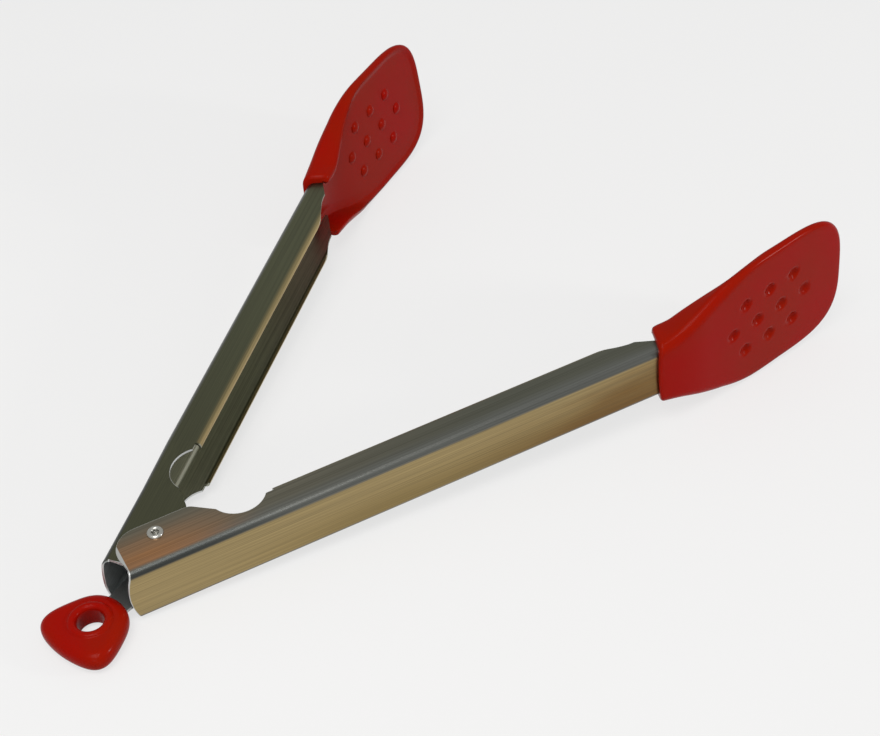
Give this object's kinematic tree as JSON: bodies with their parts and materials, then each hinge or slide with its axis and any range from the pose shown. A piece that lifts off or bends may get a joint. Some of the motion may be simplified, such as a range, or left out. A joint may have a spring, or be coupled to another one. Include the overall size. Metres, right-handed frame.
{
  "type": "spring loaded kitchen tongs",
  "caption": "Spring loaded kitchen tongs: pressed steel channel arms on a rivet, silicone paddle tips with gripping bumps, and a pull tab that works the sliding lock and hangs them up.",
  "frame": {"origin": "centre of the hanging hole, half way through the pull tab", "axes": "+X along the tongs from the hanging hole towards the tips, on the line half way between the arms; +Z along the hanging hole's axis, which is parallel to the pivot rivet; +Y completes the right-handed frame, towards the inner arm. The tongs are stored open."},
  "size_m": [0.312, 0.218, 0.056],
  "materials": {
    "arm_steel": "brushed",
    "rivet_steel": "satin",
    "spring_steel": "satin",
    "plate_steel": "satin",
    "bush_plastic": "matte",
    "tip_silicone": "satin",
    "tab_silicone": "satin"
  },
  "bodies": {
    "outer_jaw": {"outer_arm": "arm_steel", "outer_tip": "tip_silicone", "pivot_rivet": "rivet_steel"},
    "inner_jaw": {"inner_arm": "arm_steel", "inner_tip": "tip_silicone"},
    "spring_unit": {"spring_bush": "bush_plastic", "torsion_spring": "spring_steel"},
    "lock": {"lock_plate": "plate_steel", "pull_tab": "tab_silicone"}
  },
  "joints": [
    {"name": "jaw", "type": "hinge", "parent": "outer_jaw", "child": "inner_jaw", "pos_m": [0.0343, 0, 0.0055], "axis": [0, 0, -1], "range_deg": [0, 43.7], "stiffness_Nm_per_rad": 0.35, "springref_deg": -28.65, "deforming": ["torsion_spring"]},
    {"name": "spring_turn", "type": "hinge", "parent": "outer_jaw", "child": "spring_unit", "pos_m": [0.0343, 0, 0.0055], "axis": [0, 0, -1], "range_deg": [0, 21.85], "deforming": ["torsion_spring"]},
    {"name": "lock_slide", "type": "slide", "parent": "spring_unit", "child": "lock", "axis": [-1, 0, 0], "range_m": [0, 0.01], "deforming": ["torsion_spring"]}
  ],
  "couplings": [
    {"joint": "spring_turn", "follows": "jaw", "ratio": 0.5},
    {"joint": "lock_slide", "follows": "jaw", "m_per_rad": 0.01311}
  ]
}
